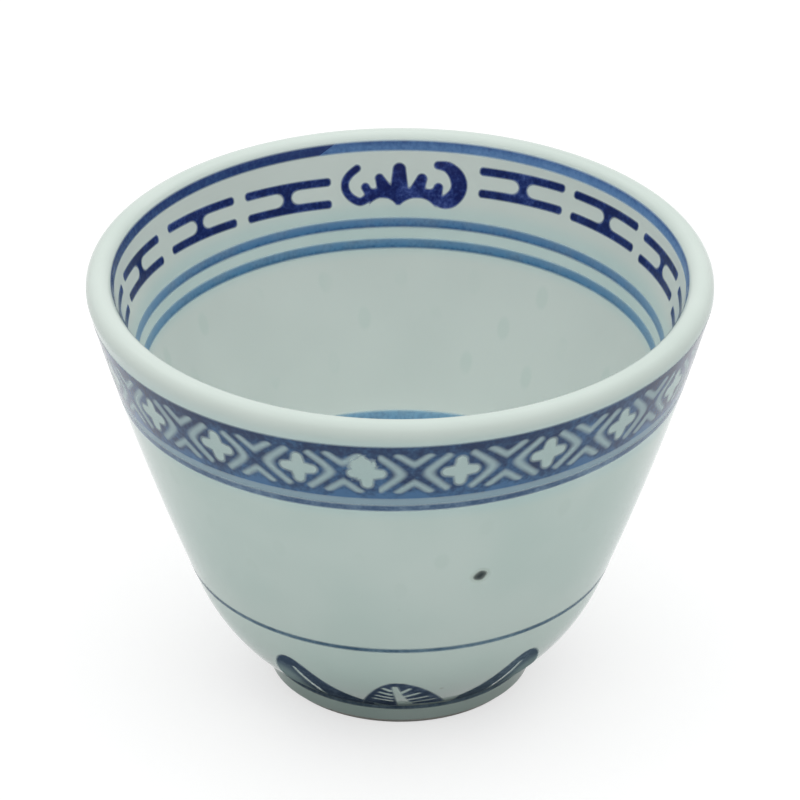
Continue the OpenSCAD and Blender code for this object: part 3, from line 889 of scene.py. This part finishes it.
fine_line("border_thread", "border_line", 46.4, 47.47,
          deep=(0.035, 0.085, 0.185, 1), pale=(0.12, 0.225, 0.36, 1), soft=0.25,
          sway=BORDER_SWAY, lift=OVER_LIFT, shine=0.15)
fine_line("waist_thread", "waist_line", 18.55, 19.3,
          deep=(0.025, 0.077, 0.143, 1), pale=(0.08, 0.178, 0.27, 1), soft=0.24)
fine_line("foot_thread", "foot_line", 2.98, 3.66,
          deep=(0.028, 0.065, 0.115, 1), pale=(0.085, 0.15, 0.22, 1), soft=0.14, lift=OVER_LIFT)


# Lappets.
# Eight petals stand round the foot, printed dark and laid by hand. Four keep a light rib and veins.
# In the others the ink flooded all but the rib and ran along the foot. Low on one side they carry a painted
# reflection, a pale sheen painted into the ink, and their paler tones are partly painted reflection too.
LAPPET_BASE = 3.5
LAPPET_GIRTH = 19.2
VEINED_TALL = 11.3
FLOODED_TALL = 13.9
VEINED_SIDES = ((1.48, 0.0), (2.08, 0.0))
LEFT_SIDES = ((1.2, 0.0), (1.3, 0.0085))
RIGHT_SIDES = ((1.3, 0.0065), (1.3, 0.004))
RIGHT_RUN_ENDS = 6.1
VEINED_RIB = ((-0.1, 9.9, 0.32), (0.25, 7.0, 0.48), (0.8, 3.6, 0.8), (1.4, 0.2, 1.3))
FLOODED_RIB = ((0.3, 11.2, 0.16), (0.9, 8.3, 0.26), (1.5, 5.2, 0.3), (1.4, 2.2, 0.3))
FOOT_LIGHT = ((1.5, 0.9, 1.0), (6.8, 0.9, 0.9))
VEIN_WIDTHS = (0.29, 0.2)
VEINED_TURNS = (-1.3, 89.0, 180.0, -134.0)
RIGHT_TURNS = (40.5, 135.0)
LEFT_TURNS = (-84.0, -34.9)
LAPPET_SHINE = 0.0
# Painted reflection: the pale sheen on the flooded petals, its colour, its reach across the rib and the
# height it fades out at.
REFLECTED_SHEEN = (0.4, 0.53, 0.53, 1)
SHEEN_ACROSS = (-1.2, 1.8)
SHEEN_BELOW = (8.6, 12.6)


def petal_outline(x, y, tall, left, right):
    """A petal. Each side has a roundness, that makes its tip, and a flare, that spreads its foot."""
    roundness, flare = (np.where(x < 0, a, b) for a, b in zip(left, right))
    down = np.maximum(tall - y, 0.02)
    half = roundness * down ** 0.5 + flare * down ** 2.5
    slope = roundness * 0.5 / down ** 0.5 + flare * 2.5 * down ** 1.5
    side = (np.abs(x) - half) / np.hypot(1, slope)
    return np.maximum(np.where(y > tall, np.hypot(x, y - tall), side), -y)


def veined_lappet(x, y):
    """A petal with its rib, four veins to each side and a light line at its foot left open."""
    shape = petal_outline(x, y, VEINED_TALL, *VEINED_SIDES)
    for i in range(4):
        right_vein = ((0.55 + 0.42 * i, 8.0 - 1.6 * i), (1.45 + 1.05 * i, 9.4 - 1.65 * i))
        left_vein = ((-0.6, 8.7 - 1.5 * i), (-1.3 - 0.45 * i, 9.5 - 1.4 * i))
        for vein in (right_vein, left_vein):
            shape = np.maximum(shape, -stroke(x, y, *vein, *VEIN_WIDTHS))
    for light_line in (FOOT_LIGHT, VEINED_RIB):
        shape = np.maximum(shape, -brush_line(x, y, light_line))
    return shape


def left_lappet(x, y):
    """A flooded petal that leans and runs to the right."""
    petal = petal_outline(x, y, FLOODED_TALL, *LEFT_SIDES)
    return np.maximum(petal, -brush_line(x, y, FLOODED_RIB))


def right_lappet(x, y):
    """A flooded petal that leans to the left, where its run ends short."""
    petal = np.maximum(petal_outline(x, y, FLOODED_TALL, *RIGHT_SIDES), -x - RIGHT_RUN_ENDS)
    return np.maximum(petal, -brush_line(-x, y, FLOODED_RIB))


def sheen_on_low_side(turns, side):
    """Paints a pale sheen low on one side of two flooded petals: a painted reflection of the pale floor."""
    first, apart = math.radians(turns[0]), math.radians(turns[1] - turns[0])

    def painted_sheen(start, tone):
        turn, high = around(start)
        off_rib = (turn - first).maths("WRAP", apart / 2, -apart / 2) * (side * LAPPET_GIRTH)
        # Painted reflection: a pale sheen painted over the low side of the petal.
        sheen = off_rib.ease(*SHEEN_ACROSS) * (1 - high.ease(*SHEEN_BELOW)) * 0.85
        return sheen.tint(tone, REFLECTED_SHEEN)

    return painted_sheen


def lappet_row(name, outline, half_width, numbers, turns, lappet_ink):
    """Some of the lappets: their film and what they stand for."""
    film = cut_film(name, outline, -half_width, half_width, -0.4, FLOODED_TALL + 0.4)
    row = laid_on(name, film, [(turn, 0.0, 0.0) for turn in turns], LAPPET_GIRTH, lappet_ink,
                  OUTWARD, BELLY_MIDDLE, BELLY_RADIUS, LAPPET_BASE)
    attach(row, "root")
    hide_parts(*[f"lappet_{number}" for number in numbers])


veined_ink = printed("lappet_print", (0.06, 0.09, 0.145, 1), (0.15, 0.21, 0.3, 1), LAPPET_SHINE)
# The flooded rows' paler tones are partly a painted reflection of the pale floor on their slant.
right_ink = printed("right_lappet_print", (0.095, 0.138, 0.185, 1), (0.2, 0.28, 0.36, 1), LAPPET_SHINE,
                    sheen_on_low_side(RIGHT_TURNS, 1.0))
left_ink = printed("left_lappet_print", (0.066, 0.1, 0.155, 1), (0.18, 0.25, 0.34, 1), LAPPET_SHINE,
                   sheen_on_low_side(LEFT_TURNS, -1.0))
lappet_row("veined_lappets", veined_lappet, 7.4, (1, 3, 5, 6), VEINED_TURNS, veined_ink)
lappet_row("right_lappets", right_lappet, 7.9, (2, 4), RIGHT_TURNS, right_ink)
lappet_row("left_lappets", left_lappet, 11.4, (7, 8), LEFT_TURNS, left_ink)


# Iron fleck.
# One grain of iron in the clay melted in the firing and burnt through the glaze at the front. It left
# a brown-black spot, level with the skin, and a pale ring round it.
FLECK_PLACES = ((18.2, 0.0, 0.0),)
FLECK_HEIGHT = 32.84
FLECK_GIRTH = 33.6
FLECK_STROKE = ((-0.08, -0.14), (0.14, 0.14), 0.72, 0.7)
FLECK_HALO = 0.9
FLECK_FIELD = (-2.2, 2.2, -2.1, 2.1)
FLECK_GRAIN = 900.0
BURNT_DEEP = (0.03, 0.046, 0.048, 1)
BURNT_EDGE = (0.1, 0.125, 0.115, 1)
HALO_TONE = (0.2, 0.224, 0.184, 1)


def fleck_outline(x, y):
    """The burnt spot, with the pale ring round it."""
    return stroke(x, y, *FLECK_STROKE) - FLECK_HALO


fleck_burn, start = glazed("iron_burn")
past_burn = from_edge(start) + FLECK_HALO + uneven(start, FLECK_GRAIN, 0.25, 3.0)
scorched = past_burn.ease(-0.6, 0.0).tint(BURNT_DEEP, BURNT_EDGE)
ringed = past_burn.ease(-0.05, 0.25).tint(scorched, HALO_TONE)
halo = (1 - past_burn.ease(0.0, FLECK_HALO)) * 0.4
inked(fleck_burn, ringed, (1 - past_burn.ease(-0.1, 0.25)).maths("MAXIMUM", halo))
fleck_film = cut_film("iron_fleck", fleck_outline, *FLECK_FIELD)
iron_fleck = laid_on("iron_fleck", fleck_film, FLECK_PLACES, FLECK_GIRTH, fleck_burn,
                     OUTWARD, SWEEP_MIDDLE, OUTER_SWEEP, FLECK_HEIGHT)
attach(iron_fleck, "root")
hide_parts("iron_spot")


# Stage, light and camera.
# A pale floor that keeps the cup's shadow and shows white, with a painted shadow under the cup that darkens
# the light the floor bounces there, a white room, one large soft lamp overhead, and a long lens at the
# photograph's angle.
WHITE = (1, 1, 1, 1)
FLOOR_CORNERS = [(-3, -3, 0), (3, -3, 0), (3, 3, 0), (-3, 3, 0)]
FLOOR_SEEN = (0.4, 0.4, 0.4, 1)
FLOOR_GLOW = 0.66
FLOOR_BOUNCE = (0.8, 0.8, 0.8, 1)
PAINTED_SHADOW_UNDER_CUP = (0.07, 0.07, 0.07, 1)
PAINTED_SHADOW_REACH = (0.02, 0.05)
AMBIENT = 0.45
LAMP_PLACE = (0, 0, 1.3)
LAMP_SIZE = 2.4
LAMP_POWER = 23.0
CUP_MIDDLE = (0, 0, 0.035)
LENS = 396.3
SENSOR = 36.0
CAMERA_PLACE = (0, -1.0417, 0.6368)
CAMERA_AIM = (0, 0, 0.041193)


def looked_at(start):
    """1 on rays that look at the background: from the camera, off a gloss or through glass."""
    eye, gloss, glass = (start.node("ShaderNodeLightPath", out=ray) for ray in (
        "Is Camera Ray", "Is Glossy Ray", "Is Transmission Ray"))
    return eye.maths("MAXIMUM", gloss).maths("MAXIMUM", glass)


floor_paint = bpy.data.materials.new("pale_floor")
floor_paint.use_nodes = True
floor_nodes = floor_paint.node_tree.nodes
floor_nodes.remove(floor_nodes["Principled BSDF"])
start = Wire(floor_paint.node_tree)
seen = looked_at(start)
from_cup = start.node("ShaderNodeVectorMath", {"operation": "LENGTH"}, {0: own_space(start)}, out="Value")
# Painted shadow: under the cup the floor bounces almost no light onto the foot and belly.
bounce_and_painted_shadow = from_cup.ease(*PAINTED_SHADOW_REACH).tint(PAINTED_SHADOW_UNDER_CUP, FLOOR_BOUNCE)
matt = start.node("ShaderNodeBsdfDiffuse", inputs={"Color": seen.tint(bounce_and_painted_shadow, FLOOR_SEEN)})
glow = start.node("ShaderNodeEmission", inputs={"Color": WHITE, "Strength": seen * FLOOR_GLOW})
both = start.node("ShaderNodeAddShader", inputs={0: matt, 1: glow})
floor_paint.node_tree.links.new(both.socket, floor_nodes["Material Output"].inputs["Surface"])
floor_mesh = bpy.data.meshes.new("floor")
floor_mesh.from_pydata(FLOOR_CORNERS, [], [(0, 1, 2, 3)])
floor_mesh.materials.append(floor_paint)
floor = bpy.data.objects.new("floor", floor_mesh)
bpy.context.scene.collection.objects.link(floor)

world = bpy.data.worlds.new("white_room")
world.use_nodes = True
bpy.context.scene.world = world
sky = world.node_tree.nodes["Background"]
sky.inputs["Color"].default_value = WHITE
shown = looked_at(Wire(world.node_tree)) * (1 - AMBIENT) + AMBIENT
world.node_tree.links.new(shown.socket, sky.inputs["Strength"])


def hung(name, device, place, target):
    """Puts a lamp or the camera at a place and turns it to a point."""
    holder = bpy.data.objects.new(name, device)
    holder.location = place
    holder.rotation_euler = (Vector(target) - Vector(place)).to_track_quat("-Z", "Y").to_euler()
    bpy.context.scene.collection.objects.link(holder)
    return holder


lamp = bpy.data.lights.new("overhead", "AREA")
lamp.size = LAMP_SIZE
lamp.energy = LAMP_POWER
hung("overhead", lamp, LAMP_PLACE, CUP_MIDDLE)

camera = bpy.data.cameras.new("camera")
camera.lens = LENS
camera.sensor_width = SENSOR
bpy.context.scene.camera = hung("camera", camera, CAMERA_PLACE, CAMERA_AIM)
bpy.context.scene.view_settings.view_transform = "Standard"
